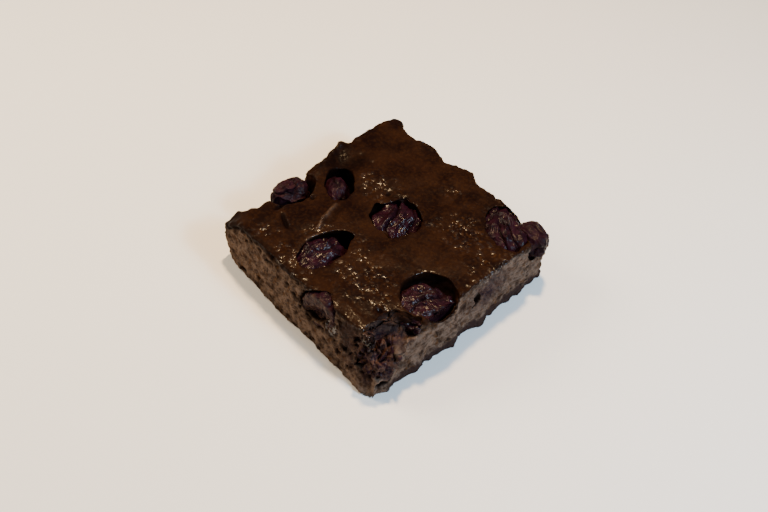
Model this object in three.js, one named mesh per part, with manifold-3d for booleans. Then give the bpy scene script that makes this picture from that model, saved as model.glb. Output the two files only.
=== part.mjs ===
// A square-cut chocolate brownie with nine sweet cherries baked into it.
// Millimetres, +Z up, and the origin is the middle of the underside. The front side
// faces -Y and the right side +X, and the corner between them is the broken one.

import * as THREE from "three";
import { mergeVertices } from "three/addons/utils/BufferGeometryUtils.js";
import Module from "manifold-3d";

const wasm = await Module();
wasm.setup();

// Driving dimensions
const halfLength = 34.5; // half the slab along X
const halfWidth = 35.5; // half the slab along Y
const slabHeight = 20.6;
const cornerRound = 0.4; // how far the knife-cut corners are worn back
const cornerReach = 1.6;
const footHeight = 0.8; // the underside's edge turns up over this height
const footInset = 0.9;
const cragDepth = 0.45; // relief of the torn crumb on the sides
const swellDepth = 0.3; // gentle rise and fall of the crust
const seatGap = 0.3; // between a cherry and the cake round it
const boxMiddle = [0.5, -1, 0]; // of the uneven cake: it goes to the origin at the end

// How finely each surface is divided
const topCells = 28;
const wallRows = 9;
const pocketSides = 20;
const pocketRings = 12;
const cherrySides = 18;
const cherryRings = 11;

// Each cut side as [place along it, distance out from the straight side].
// The rim is where the crust ends and the foot is where the side meets the plate.
const sides = {
  front: {
    rim: [[-35, 0.5], [-31, 0.1], [-18, 0.2], [0, 0.4], [10, 0], [20, -0.8], [27, -1.9], [35, -1.6]],
    foot: [[-35, -0.6], [-29, 0.8], [-17, 1.3], [-2, 2.1], [8, 1.7], [20, 2.1], [30, 2.5], [35, 1.6]],
  },
  right: {
    rim: [[-36, 0], [-20, 0.3], [-5, 0.6], [6, 0.2], [14, 0], [26, -0.2], [36, -1]],
    foot: [
      [-36, 0.9], [-30, 1], [-21, 2.1], [-17, 1.3], [-11, 1.6], [-6.5, 2.1],
      [-0.5, 0.8], [5, 1.5], [13, 0.7], [24, 0.6], [36, 0],
    ],
  },
  back: {
    rim: [
      [-35, -1.7], [-32, -0.5], [-24.5, -3.4], [-14, -1.5], [-8, -3.3], [-4, -1.6], [1, -0.8],
      [6.5, -3.2], [12, -2.7], [19, -2.9], [24.5, -5], [28.5, -1.6], [35, -0.6],
    ],
    foot: [[-35, -0.3], [-20, 0.5], [-6, -0.4], [8, 0.4], [22, -0.4], [35, 0]],
  },
  left: {
    rim: [
      [-36, 0.6], [-31, -1.4], [-18, -2.4], [-8, -2.2], [1, -1.2], [7, 0.2],
      [11, 1.1], [13.5, -0.3], [20, 0.6], [28, 0.9], [36, -0.3],
    ],
    foot: [[-36, 0.3], [-22, 0.4], [-8, -0.3], [6, 0.5], [20, -0.2], [36, 0.2]],
  },
};

// Places where the crust stands higher or lower than slabHeight.
const heightSpots = [
  { x: -36, y: -38, reach: 7.5, rise: -8 },
  { x: 36, y: 38, reach: 10, rise: -3.6 },
  { x: -36, y: -12, reach: 10, rise: -2.2 },
  { x: 33, y: 3, reach: 12, rise: 0.9 },
  { x: 8, y: -24, reach: 14, rise: 0.4 },
];

// Hollows in the cake. Turn is about Z, in degrees, and egg narrows the far end.
const pockets = [
  { name: "front left", at: [-2.8, -22.3, 15.5], radii: [7, 12.2, 8], egg: 0.24 },
  { name: "centre", at: [0.8, 1.9, 18.2], radii: [9.2, 9.4, 5] },
  { name: "front right", at: [29.4, -11.4, 20.6], radii: [8.2, 8.9, 6.8] },
  { name: "left edge", at: [-30, -14.6, 18.8], radii: [6.4, 9.8, 6] },
  { name: "left notch", at: [-35.5, -24, 18], radii: [7.7, 7, 8.5] },
  { name: "sunken", at: [-21.4, 0.2, 17], radii: [11.6, 6.4, 7.5], turn: -41 },
  { name: "right edge", at: [24.8, 24.8, 19.5], radii: [10, 6.2, 4.5], turn: -30 },
  { name: "right corner", at: [29.6, 31, 19.6], radii: [5.4, 5, 4.6] },
  { name: "right corner side", at: [34.4, 28.2, 14.6], radii: [3.4, 2.8, 4] },
  { name: "front side", at: [12.2, -37.2, 16.4], radii: [7.6, 6.6, 6] },
  { name: "broken corner", at: [35.5, -30.5, 19.5], radii: [8.6, 10.5, 9] },
];

// Cracks and holes in the cut sides that are wide enough to see into.
const tears = [
  { name: "right side tear", at: [35.6, 2.8, 13.4], radii: [2.2, 1.8, 3.6] },
  { name: "corner slot", at: [36.4, -33, 4.6], radii: [3, 3, 1.2] },
  { name: "corner ledge", at: [35, 37.6, 7.2], radii: [6, 4.2, 1.5] },
  { name: "front side hole", at: [22, -37.5, 8.8], radii: [2, 2.6, 1.5] },
  { name: "front side crack", at: [29, -37.2, 9.6], radii: [2.2, 2.6, 1.4] },
];

// Whole cherries. Lobes is how many soft folds run round one, and ribs how deep they are.
const cherries = [
  { name: "cherry_front_left", at: [-2.8, -25.4, 14.8], radii: [5.6, 6.8, 6.2],
    lobes: 5, ribs: 0.045 },
  { name: "cherry_centre", at: [1.4, 1.4, 14.2], radii: [8, 8, 6.5],
    turn: 25, lobes: 4, ribs: 0.05 },
  { name: "cherry_front_right", at: [28.2, -12.3, 14.9], radii: [6.3, 7.3, 6.5],
    lobes: 6, ribs: 0.05 },
  { name: "cherry_left_edge", at: [-30, -13.2, 13.8], radii: [5, 8.2, 5.6],
    turn: -4, lobes: 4, ribs: 0.04 },
  { name: "cherry_sunken", at: [-24.2, -1, 12.6], radii: [6.9, 4.7, 5.2],
    turn: -41, lobes: 3, ribs: 0.03 },
  { name: "cherry_right_edge", at: [24.6, 24.4, 15.8], radii: [9, 4.9, 4.8],
    turn: -30, lobes: 7, ribs: 0.08 },
  { name: "cherry_right_corner", at: [29.4, 30.8, 13.9], radii: [4.8, 4.6, 5],
    lobes: 4, ribs: 0.05 },
  { name: "cherry_front_side", at: [12.4, -33.2, 14], radii: [7, 6.2, 5.9],
    lobes: 4, ribs: 0.03 },
  { name: "cherry_front_corner", at: [30.8, -31.4, 10], radii: [5, 5, 5],
    lobes: 5, ribs: 0.06 },
];
// The cherry in the front side was pitted and then met the knife.
const stoneHollow = { at: [12, -37, 14], radii: [5, 6.4, 4.3] };
const knifeCut = { at: [12, -40.8, 15], size: [20, 10, 20] };

// Small helpers

const mix = (a, b, t) => a + (b - a) * t;
const radians = (degrees) => (degrees * Math.PI) / 180;

// The value at a place on the smooth curve through [place, value] pairs.
function through(pairs, place) {
  if (place <= pairs[0][0]) return pairs[0][1];
  for (let i = 1; i < pairs.length; i++) {
    const [from, a] = pairs[i - 1];
    const [to, b] = pairs[i];
    if (place > to) continue;
    const t = (place - from) / (to - from);
    return mix(a, b, t * t * (3 - 2 * t));
  }
  return pairs.at(-1)[1];
}

// A closed THREE geometry as a manifold-3d solid.
function solidFrom(geometry) {
  geometry.deleteAttribute("normal");
  geometry.deleteAttribute("uv");
  const merged = mergeVertices(geometry, 1e-4);
  const mesh = new wasm.Mesh({
    numProp: 3,
    vertProperties: new Float32Array(merged.attributes.position.array),
    triVerts: new Uint32Array(merged.index.array),
  });
  return new wasm.Manifold(mesh);
}

// A manifold-3d solid as a THREE geometry in the finished place.
function geometryFrom(solid) {
  const mesh = solid.getMesh();
  const geometry = new THREE.BufferGeometry();
  geometry.setAttribute("position", new THREE.BufferAttribute(mesh.vertProperties, 3));
  geometry.setIndex(new THREE.BufferAttribute(mesh.triVerts, 1));
  geometry.computeVertexNormals();
  return geometry.translate(...boxMiddle.map((along) => -along));
}

// The largest of the bodies that a cut leaves, without its crumbs.
function largestBody(solid) {
  const bodies = solid.decompose();
  bodies.sort((a, b) => b.volume() - a.volume());
  return bodies[0];
}

// The slab

// Depth of the torn crumb at a point, from -1 to 1: three crossed waves.
function crag(x, y, z) {
  const coarse = Math.sin(x / 2.3 + 1.7 * Math.sin(z / 3.1)) * Math.sin(y / 2.1 + z / 2.7);
  const fine = Math.sin(x / 1.1 - z / 1.3) * Math.sin(y / 1.2 + z / 1.7 + 0.9);
  return 0.65 * coarse + 0.35 * fine;
}

// Height of the crust over a point of the plan.
function crustHeight(x, y) {
  let z = slabHeight;
  for (const spot of heightSpots) {
    const distance = Math.hypot(x - spot.x, y - spot.y) / spot.reach;
    z += spot.rise * Math.exp(-distance * distance);
  }
  const swell = Math.sin(x / 3.4 + 0.8) * Math.sin(y / 4.1) + 0.6 * Math.sin(x / 7.3 - y / 5.2);
  return z + swellDepth * swell;
}

// Distance out of a side at a place along it, drawn in where two sides meet.
function sideOut(side, level, place, halfSpan) {
  const fromCorner = (halfSpan - Math.abs(place)) / cornerReach;
  return through(sides[side][level], place) - cornerRound * Math.exp(-fromCorner * fromCorner);
}

// The four sides of a level as functions of a share along each, from 0 to 1,
// front and back running towards +X, left and right towards +Y.
function outline(level) {
  const front = (x) => -halfWidth - sideOut("front", level, x, halfLength);
  const back = (x) => halfWidth + sideOut("back", level, x, halfLength);
  const left = (y) => -halfLength - sideOut("left", level, y, halfWidth);
  const right = (y) => halfLength + sideOut("right", level, y, halfWidth);
  const corners = [
    [left(-halfWidth), front(-halfLength)],
    [right(-halfWidth), front(halfLength)],
    [right(halfWidth), back(halfLength)],
    [left(halfWidth), back(-halfLength)],
  ];
  const [frontLeft, frontRight, backRight, backLeft] = corners;
  // The corners already lie on both of their sides, so each side is bent to meet them.
  const run = (start, end, across, bend) => (share) => {
    const place = mix(start[across], end[across], share);
    const point = [0, 0];
    point[across] = place;
    point[1 - across] = bend(THREE.MathUtils.clamp(
      place, across ? -halfWidth : -halfLength, across ? halfWidth : halfLength));
    return point;
  };
  return {
    front: run(frontLeft, frontRight, 0, front),
    back: run(backLeft, backRight, 0, back),
    left: run(frontLeft, backLeft, 1, left),
    right: run(frontRight, backRight, 1, right),
  };
}

// A point inside an outline, from two shares: the surface stretched between four sides.
function inside(edge, u, v) {
  const [front, back] = [edge.front(u), edge.back(u)];
  const [left, right] = [edge.left(v), edge.right(v)];
  const corners = [edge.front(0), edge.front(1), edge.back(0), edge.back(1)];
  return [0, 1].map((axis) => {
    const ruled = mix(front[axis], back[axis], v) + mix(left[axis], right[axis], u);
    const flat = mix(
      mix(corners[0][axis], corners[1][axis], u),
      mix(corners[2][axis], corners[3][axis], u), v);
    return ruled - flat;
  });
}

// Shares of the outline's cells in order round it, seen from above, anticlockwise.
function roundTheTop() {
  const shares = [];
  for (let i = 0; i < topCells; i++) shares.push([i / topCells, 0]);
  for (let i = 0; i < topCells; i++) shares.push([1, i / topCells]);
  for (let i = topCells; i > 0; i--) shares.push([i / topCells, 1]);
  for (let i = topCells; i > 0; i--) shares.push([0, i / topCells]);
  return shares;
}

// The whole slab before anything is cut out of it: crust, four torn sides, flat underside.
function slabSolid() {
  const rim = outline("rim");
  const foot = outline("foot");
  const points = [];
  const faces = [];
  const topIndex = (i, j) => i * (topCells + 1) + j;
  for (let i = 0; i <= topCells; i++) {
    for (let j = 0; j <= topCells; j++) {
      const [x, y] = inside(rim, i / topCells, j / topCells);
      points.push([x, y, crustHeight(x, y)]);
    }
  }
  const quad = (a, b, c, d) => faces.push(a, b, c, a, c, d);
  for (let i = 0; i < topCells; i++) {
    for (let j = 0; j < topCells; j++) {
      quad(topIndex(i, j), topIndex(i + 1, j), topIndex(i + 1, j + 1), topIndex(i, j + 1));
    }
  }

  const shares = roundTheTop();
  let ring = shares.map(([u, v]) => topIndex(Math.round(u * topCells), Math.round(v * topCells)));
  const addRing = (place) => {
    const next = shares.map(([u, v]) => points.push(place(u, v)) - 1);
    next.forEach((low, k) => {
      const after = (k + 1) % next.length;
      quad(ring[k], low, next[after], ring[after]);
    });
    ring = next;
  };
  for (let row = 1; row <= wallRows; row++) {
    const down = row / wallRows;
    const relief = cragDepth * Math.sin(Math.PI * Math.min(1, down * 1.15));
    addRing((u, v) => {
      const [rimX, rimY] = inside(rim, u, v);
      const [footX, footY] = inside(foot, u, v);
      const z = mix(crustHeight(rimX, rimY), footHeight, down);
      const x = mix(rimX, footX, down * down);
      const y = mix(rimY, footY, down * down);
      const out = 1 + (relief * crag(x, y, z)) / halfLength;
      return [x * out, y * out, z];
    });
  }
  addRing((u, v) => {
    const [x, y] = inside(foot, u, v);
    const shrink = 1 - footInset / halfLength;
    return [x * shrink, y * shrink, 0];
  });
  const middle = points.push([0, 0, 0]) - 1;
  ring.forEach((low, k) => faces.push(low, middle, ring[(k + 1) % ring.length]));

  const geometry = new THREE.BufferGeometry();
  geometry.setAttribute("position", new THREE.Float32BufferAttribute(points.flat(), 3));
  geometry.setIndex(faces);
  return solidFrom(geometry);
}

// Round shapes: hollows and cherries

// A sphere geometry carried point by point: shape gets the unit direction
// and returns the point in units of the radii.
function carriedSphere({ at, radii, turn = 0 }, sideCount, ringCount, grow, shape) {
  const geometry = new THREE.SphereGeometry(1, sideCount, ringCount);
  const position = geometry.attributes.position;
  const point = new THREE.Vector3();
  const upright = new THREE.Matrix4().makeRotationX(Math.PI / 2);
  for (let i = 0; i < position.count; i++) {
    point.fromBufferAttribute(position, i).applyMatrix4(upright);
    shape(point);
    point.set(
      point.x * (radii[0] + grow), point.y * (radii[1] + grow), point.z * (radii[2] + grow));
    position.setXYZ(i, point.x, point.y, point.z);
  }
  geometry.rotateZ(radians(turn));
  geometry.translate(...at);
  return solidFrom(geometry);
}

// A hollow: an egg whose wall wanders in and out by a few hundredths.
function pocketSolid(pocket) {
  return carriedSphere(pocket, pocketSides, pocketRings, 0, (point) => {
    const wander = 1 + 0.035 * Math.sin(5 * point.x + 3 * point.z) * Math.cos(4 * point.y);
    point.multiplyScalar(wander);
    point.x *= 1 - (pocket.egg ?? 0) * point.y;
  });
}

// A cherry: an ellipsoid with soft folds down its sides, drawn in at the top by its stem.
function cherrySolid(cherry, grow = 0) {
  return carriedSphere(cherry, cherrySides, cherryRings, grow, (point) => {
    const around = Math.atan2(point.y, point.x);
    const level = Math.hypot(point.x, point.y);
    const fold = cherry.ribs * level * Math.sin(cherry.lobes * around + 1.3 * point.z);
    const dimple = 0.05 * Math.exp(-(((1 - point.z) / 0.12) ** 2));
    point.multiplyScalar(1 + fold - dimple);
  });
}

// Cuts and assembly

const crumbColour = new THREE.MeshStandardMaterial({ color: 0x3d2617, roughness: 0.6, metalness: 0 });
const cherryColour = new THREE.MeshStandardMaterial({ color: 0x2b1018, roughness: 0.32, metalness: 0 });

// The front side's cherry, sliced level with the cake and hollow where its stone was.
function opened(solid) {
  const knife = new THREE.BoxGeometry(...knifeCut.size);
  knife.translate(...knifeCut.at);
  return solid.subtract(solidFrom(knife)).subtract(pocketSolid(stoneHollow));
}

// Cherries are made in order, and each keeps clear of those before it.
function placedCherries() {
  const placed = [];
  for (const cherry of cherries) {
    let solid = cherrySolid(cherry);
    if (cherry.name === "cherry_front_side") solid = opened(solid);
    for (const { cherry: other } of placed) {
      solid = solid.subtract(cherrySolid(other, seatGap));
    }
    placed.push({ cherry, solid: largestBody(solid) });
  }
  return placed;
}

const brownie = new THREE.Group();
const placed = placedCherries();

let slab = slabSolid();
for (const hollow of [...pockets, ...tears]) slab = slab.subtract(pocketSolid(hollow));
for (const { cherry } of placed) slab = slab.subtract(cherrySolid(cherry, seatGap));

const slabMesh = new THREE.Mesh(geometryFrom(largestBody(slab)), crumbColour);
slabMesh.name = "brownie_slab";
brownie.add(slabMesh);
for (const { cherry, solid } of placed) {
  const mesh = new THREE.Mesh(geometryFrom(solid), cherryColour);
  mesh.name = cherry.name;
  brownie.add(mesh);
}

export default brownie;
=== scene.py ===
from types import SimpleNamespace

import bpy
import numpy as np
from mathutils import Matrix


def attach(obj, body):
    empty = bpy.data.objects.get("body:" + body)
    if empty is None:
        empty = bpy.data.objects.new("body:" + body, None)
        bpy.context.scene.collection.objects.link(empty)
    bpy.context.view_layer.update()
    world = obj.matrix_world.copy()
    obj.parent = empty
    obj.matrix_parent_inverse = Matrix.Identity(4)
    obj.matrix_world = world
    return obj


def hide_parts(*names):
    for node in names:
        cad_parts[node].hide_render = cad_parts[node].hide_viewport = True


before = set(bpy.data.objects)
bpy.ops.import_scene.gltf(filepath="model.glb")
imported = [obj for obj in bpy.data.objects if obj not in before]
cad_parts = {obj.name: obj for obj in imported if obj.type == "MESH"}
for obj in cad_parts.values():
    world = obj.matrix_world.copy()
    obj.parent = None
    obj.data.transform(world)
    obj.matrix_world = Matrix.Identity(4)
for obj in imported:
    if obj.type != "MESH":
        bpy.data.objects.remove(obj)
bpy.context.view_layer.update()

# All shapes are worked out in millimetres, as measured on the cake, and go to metres last.
millimetre = 0.001
boxMiddle = np.array([0.5, -1.0, 0.0])  # this point of the measured cake is the origin

print("stage: helpers")


def latticeValue(cellX, cellY, cellZ, seed):  # a repeatable 32-bit number for each lattice point
    mixed = (cellX * 374761393 + cellY * 668265263 + cellZ * 1274126177 + seed * 974634777) & 0xFFFFFFFF
    mixed = ((mixed ^ (mixed >> 13)) * 1103515245) & 0xFFFFFFFF
    mixed = ((mixed ^ (mixed >> 15)) * 2246822519) & 0xFFFFFFFF
    return mixed ^ (mixed >> 16)


def softNoise(points, cell, seed=0):
    # slope noise, about -1 to 1: each lattice corner has a random slope, and the eight slopes
    # round a point are blended by 6t^5 - 15t^4 + 10t^3 along each axis
    scaled = points / cell
    base = np.floor(scaled).astype(np.int64)
    part = scaled - base
    blend = part ** 3 * (part * (part * 6 - 15) + 10)
    total = np.zeros(len(points))
    for corner in np.ndindex(2, 2, 2):
        step = np.array(corner)
        value = latticeValue(*(base + step).T, seed)
        slope = np.stack([(value >> shift & 255) / 127.5 - 1 for shift in (0, 8, 16)], axis=1)
        share = np.prod(np.where(step == 1, blend, 1 - blend), axis=1)
        total += share * np.sum(slope * (part - step), axis=1)
    return total * 1.4


def layeredNoise(points, cell, layers, seed=0):  # sum of softNoise, each layer half as wide and high
    return sum(softNoise(points, cell / 2 ** i, seed + 7 * i) / 2 ** i for i in range(layers))


def creases(points, cell, seed=0):  # 1 on thin wandering lines, falling to 0 between them
    return np.clip(1 - np.abs(softNoise(points, cell, seed)) * 2.2, 0, 1)


def scatteredPits(points, cell, share, seed=0):
    # one random centre in each lattice cell; the value is 1 at a centre and falls as 1 - (d/r)^2
    # to 0 at that centre's own random radius r; only this share of the centres count
    scaled = points / cell
    base = np.floor(scaled).astype(np.int64)
    deepest = np.zeros(len(points))
    for corner in np.ndindex(3, 3, 3):
        home = base + np.array(corner) - 1
        value = latticeValue(*home.T, seed)
        centre = home + np.stack([(value >> shift & 255) / 255 for shift in (0, 8, 16)], axis=1)
        radius = 0.22 + 0.38 * (latticeValue(*home.T, seed + 5) & 255) / 255
        counts = (latticeValue(*home.T, seed + 9) & 1023) / 1023 < share
        away = np.linalg.norm(scaled - centre, axis=1) / radius
        deepest = np.maximum(deepest, np.where(counts, np.clip(1 - away ** 2, 0, 1), 0))
    return deepest


def smoothStep(low, high, value):  # 3t^2 - 2t^3 between low and high
    t = np.clip((value - low) / (high - low), 0, 1)
    return t * t * (3 - 2 * t)


def throughKnots(knots, place):  # the smooth curve through [place, value] pairs
    places, values = np.array(knots, float).T
    upper = np.clip(np.searchsorted(places, place), 1, len(places) - 1)
    share = smoothStep(places[upper - 1], places[upper], place)
    return values[upper - 1] + (values[upper] - values[upper - 1]) * share


def pointNormals(points, quads):
    # the cross product of each quad's diagonals, summed over a point's quads and made one long
    a, b, c, d = (points[quads[:, i]] for i in range(4))
    normals = np.cross(c - a, d - b)
    total = np.stack([
        np.bincount(quads.ravel(), np.repeat(normals[:, i], 4), len(points)) for i in range(3)], axis=1)
    return total / np.maximum(np.linalg.norm(total, axis=1, keepdims=True), 1e-12)


def eased(points, quads, amount, rounds):
    # each point goes this share of the way to the mean of its neighbours, round after round
    after = np.roll(quads, -1, axis=1)
    one = np.concatenate([quads.ravel(), after.ravel()])
    other = np.concatenate([after.ravel(), quads.ravel()])
    count = np.bincount(one, minlength=len(points))[:, None]
    share = np.broadcast_to(np.asarray(amount, float), (len(points),))[:, None]
    for _ in range(rounds):
        mean = np.stack([
            np.bincount(one, points[other, i], len(points)) for i in range(3)], axis=1) / np.maximum(count, 1)
        points = points + (mean - points) * share
    return points


def makePiece(name, points, quads, fields, material, node):
    # one closed mesh from measured points; a quad whose last two corners agree is a triangle
    isTriangle = quads[:, 2] == quads[:, 3]
    sizes = np.where(isTriangle, 3, 4)
    corners = quads.ravel()[np.stack([np.ones_like(isTriangle)] * 3 + [~isTriangle], axis=1).ravel()]
    mesh = bpy.data.meshes.new(name)
    mesh.vertices.add(len(points))
    mesh.vertices.foreach_set("co", ((points - boxMiddle) * millimetre).astype(np.float32).ravel())
    mesh.loops.add(len(corners))
    mesh.loops.foreach_set("vertex_index", corners.astype(np.int32))
    mesh.polygons.add(len(quads))
    mesh.polygons.foreach_set("loop_start", np.concatenate([[0], np.cumsum(sizes)[:-1]]).astype(np.int32))
    mesh.update(calc_edges=True)
    mesh.validate()
    mesh.shade_smooth()
    for field, values in fields.items():
        attribute = mesh.attributes.new(field, "FLOAT", "POINT")
        attribute.data.foreach_set("value", np.clip(values, 0, 1).astype(np.float32))
    mesh.materials.append(material)
    piece = bpy.data.objects.new(name, mesh)
    bpy.context.scene.collection.objects.link(piece)
    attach(piece, "root")
    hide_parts(node)
    print("piece:", name, len(quads) * 2 - int(isTriangle.sum()), "triangles")


print("stage: materials")


class Finish:  # a material's node tree, with short calls that add a node and join it to others
    def __init__(self, name):
        self.material = bpy.data.materials.new(name)
        self.material.use_nodes = True
        self.tree = self.material.node_tree
        self.shader = self.tree.nodes["Principled BSDF"]
        self.place = self.add("ShaderNodeTexCoord").outputs["Object"]

    def add(self, kind, inputs=None, **settings):
        made = self.tree.nodes.new(kind)
        for setting, value in settings.items():
            setattr(made, setting, value)
        for key, value in (inputs or {}).items():
            self.feed(made.inputs[key], value)
        return made

    def feed(self, socket, value):
        if isinstance(value, bpy.types.NodeSocket):
            self.tree.links.new(value, socket)
        else:
            socket.default_value = value

    def give(self, name, value):  # to the shader's socket of this name
        self.feed(self.shader.inputs[name], value)

    def field(self, name):
        return self.add("ShaderNodeAttribute", attribute_name=name).outputs["Fac"]

    def noise(self, size, detail, roughness, seed=0, stretch=(1, 1, 1), turn=(0, 0, 0)):
        # size in millimetres; turn in radians, before the stretch
        turned = self.add("ShaderNodeMapping", {
            "Vector": self.place, "Scale": stretch, "Location": (seed, seed * 0.7, seed * 1.3),
            "Rotation": turn})
        made = self.add("ShaderNodeTexNoise", {
            "Vector": turned.outputs[0], "Scale": 1 / (size * millimetre), "Detail": detail,
            "Roughness": roughness})
        return made.outputs["Fac"]

    def domes(self, size, reach):  # 1 - (d / r)^2 round each cell's centre, r being reach * size
        cells = self.add("ShaderNodeTexVoronoi", {"Vector": self.place, "Scale": 1 / (size * millimetre)})
        away = cells.outputs["Distance"]
        return self.ramp(self.times(away, away), 0, reach ** 2, 1, 0, smooth=False)

    def ramp(self, value, low, high, lowOut=0.0, highOut=1.0, smooth=True):
        made = self.add("ShaderNodeMapRange", {
            "Value": value, "From Min": low, "From Max": high, "To Min": lowOut, "To Max": highOut},
            interpolation_type="SMOOTHSTEP" if smooth else "LINEAR")
        return made.outputs["Result"]

    def sum(self, one, other):
        return self.add("ShaderNodeMath", {0: one, 1: other}, operation="ADD").outputs[0]

    def times(self, one, other):
        return self.add("ShaderNodeMath", {0: one, 1: other}, operation="MULTIPLY").outputs[0]

    def mix(self, share, one, other):
        made = self.add("ShaderNodeMix", data_type="RGBA")
        self.feed(made.inputs["Factor"], share)
        self.feed(made.inputs[6], one)
        self.feed(made.inputs[7], other)
        return made.outputs[2]

    def mixValue(self, share, one, other):
        made = self.add("ShaderNodeMix", data_type="FLOAT")
        self.feed(made.inputs["Factor"], share)
        self.feed(made.inputs[2], one)
        self.feed(made.inputs[3], other)
        return made.outputs[0]

    def bump(self, height, depth):  # depth in millimetres for a height of 1
        made = self.add("ShaderNodeBump", {"Height": height, "Distance": depth * millimetre})
        self.give("Normal", made.outputs["Normal"])
        self.give("Coat Normal", made.outputs["Normal"])


cakeFinish = {
    "crumbDark": (0.020, 0.0105, 0.0066, 1),
    "crumbPale": (0.134, 0.091, 0.068, 1),
    "crumbWarm": (0.072, 0.030, 0.0095, 1),
    # painted shade in the crumb's pits, specks and seam
    "crumbPitShade": (0.0085, 0.0034, 0.0018, 1),
    "crustDark": (0.0055, 0.0020, 0.0016, 1),
    "crustWarm": (0.0145, 0.0055, 0.0028, 1),
    # a lighter speckle on the crust; on the blisters a painted highlight
    "crustSpeckleAndGlint": (0.0480, 0.0185, 0.0052, 1),
    # painted shade: near black deep in hollows, in slits, small holes and gaps, and on dark places
    "paintedShadeBlack": (0.0030, 0.0010, 0.0007, 1),
    # painted shade and dark crumb along the foot
    "footShadeAndCrumb": (0.0300, 0.0170, 0.0145, 1),
    "tornBrown": (0.0740, 0.0400, 0.0310, 1),
    "fruitStain": (0.0200, 0.0090, 0.0135, 1),
    "crustRoughness": (0.30, 0.48),
    "bubbleRoughness": 0.30,
    "crumbRoughness": (0.70, 0.95),
    "tornRoughness": 0.42,
    "pocketRoughness": 0.65,
    "shine": 0.02,  # how strongly the surface mirrors, 0.5 for plain plastic
    "syrup": 0.85,  # the weight of the wet film on blisters and rims
    "syrupRoughness": 0.25,
    "blisterRise": 0.29,  # as a share of the relief's depth in millimetres
    "reliefDepth": 0.42,
}
cakeTextures = {  # size in millimetres, detail, roughness, seed, stretch, turn
    "blotch": (3.2, 5, 0.62), "stain": (2.1, 4, 0.6, 6.6), "fine": (0.8, 4, 0.7, 3.1),
    "streak": (0.9, 3, 0.6, 9.4, (1, 0.16, 1), (0.75, 0, 0)), "shade": (8.0, 4, 0.55, 1.7),
    "speckle": (1.0, 3, 0.6, 5.3), "mottle": (1.6, 5, 0.7, 2.9), "flesh": (1.7, 4, 0.65, 4.7),
    "film": (2.4, 4, 0.6, 8.9), "drops": (0.9, 2, 0.5, 12.1), "skin": (1.0, 3, 0.6, 2.2),
    "grain": (1.1, 5, 0.72, 6.1),
}


def makeCakeMaterial():
    # colours mixed by the textures' shares and by the fields of the mesh, then film and relief
    cake = Finish("chocolateCake")
    look = cakeFinish
    noise = {name: cake.noise(*texture) for name, texture in cakeTextures.items()}
    names = ("crust", "pocket", "bubbles", "foot", "fruit", "hollow", "wet")
    crust, pocket, bubbles, foot, fruit, hollow, wet = (cake.field(name) for name in names)

    # Crumb: pale flour-grey with darker blotches and warm stains, and painted shade in its holes.
    crumb = cake.mix(cake.ramp(noise["blotch"], 0.30, 0.60), look["crumbDark"], look["crumbPale"])
    crumb = cake.mix(cake.ramp(noise["stain"], 0.54, 0.68, 0, 0.7), crumb, look["crumbWarm"])
    crumb = cake.mix(cake.ramp(noise["fine"], 0.50, 0.70, 0, 0.6), crumb, look["crumbDark"])
    crumb = cake.mix(cake.ramp(noise["streak"], 0.50, 0.66, 0, 0.5), crumb, look["crumbDark"])
    # Painted shade: near black in the crumb's pits and seam, and a dark brown along the foot, partly shade
    # and partly dark crumb.
    crumb = cake.mix(foot, cake.mix(hollow, crumb, look["crumbPitShade"]), look["footShadeAndCrumb"])

    # Crust: a dark skin with a lighter speckle, faint all over and strongest on the blisters, where it is a
    # painted highlight.
    top = cake.mix(cake.ramp(noise["shade"], 0.34, 0.66), look["crustDark"], look["crustWarm"])
    warm = cake.times(cake.ramp(noise["speckle"], 0.44, 0.66), cake.ramp(bubbles, 0.0, 1.0, 0.16, 0.55))
    top = cake.mix(warm, top, look["crustSpeckleAndGlint"])
    top = cake.mix(cake.ramp(noise["mottle"], 0.56, 0.74, 0, 0.7), top, look["crustDark"])

    raw = cake.mix(cake.ramp(noise["flesh"], 0.42, 0.62), look["fruitStain"], look["tornBrown"])
    colour = cake.mix(fruit, cake.mix(crust, crumb, top), raw)
    # Painted shade: the pocket share darkens the colour to near black.
    cake.give("Base Color", cake.mix(pocket, colour, look["paintedShadeBlack"]))

    film = cake.ramp(noise["film"], 0.3, 0.7, *look["crustRoughness"])
    film = cake.mixValue(cake.ramp(bubbles, 0.1, 0.7), film, look["bubbleRoughness"])
    dry = cake.ramp(noise["fine"], 0.3, 0.7, *look["crumbRoughness"])
    plain = cake.mixValue(pocket, cake.mixValue(crust, dry, film), look["pocketRoughness"])
    cake.give("Roughness", cake.mixValue(fruit, plain, look["tornRoughness"]))
    cake.give("Specular IOR Level", look["shine"])

    # Syrup: a clear film on the tops of the blisters, and in small streaks on other wet places.
    blister = cake.sum(cake.times(cake.domes(2.4, 0.40), 1.5), cake.domes(1.4, 0.46))
    blister = cake.sum(blister, cake.times(cake.domes(0.85, 0.46), 0.55))
    streaks, tops = cake.ramp(noise["drops"], 0.50, 0.60), cake.ramp(blister, 0.1, 0.6)
    drops = cake.mixValue(cake.ramp(bubbles, 0.05, 0.3), streaks, tops)
    cake.give("Coat Weight", cake.times(cake.times(wet, drops), look["syrup"]))
    cake.give("Coat Roughness", look["syrupRoughness"])

    # Relief: blisters and a fine wrinkle on the crust, grain and knife streaks on the crumb.
    skin = cake.times(noise["skin"], cake.mixValue(bubbles, 0.16, 0.03))
    onCrust = cake.sum(cake.times(cake.times(blister, bubbles), look["blisterRise"]), skin)
    grain = cake.sum(cake.times(noise["grain"], 1.3), cake.times(noise["fine"], 0.7))
    grain = cake.sum(grain, cake.times(noise["streak"], 0.35))
    cake.bump(cake.mixValue(crust, grain, onCrust), look["reliefDepth"])
    return cake.material


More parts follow.
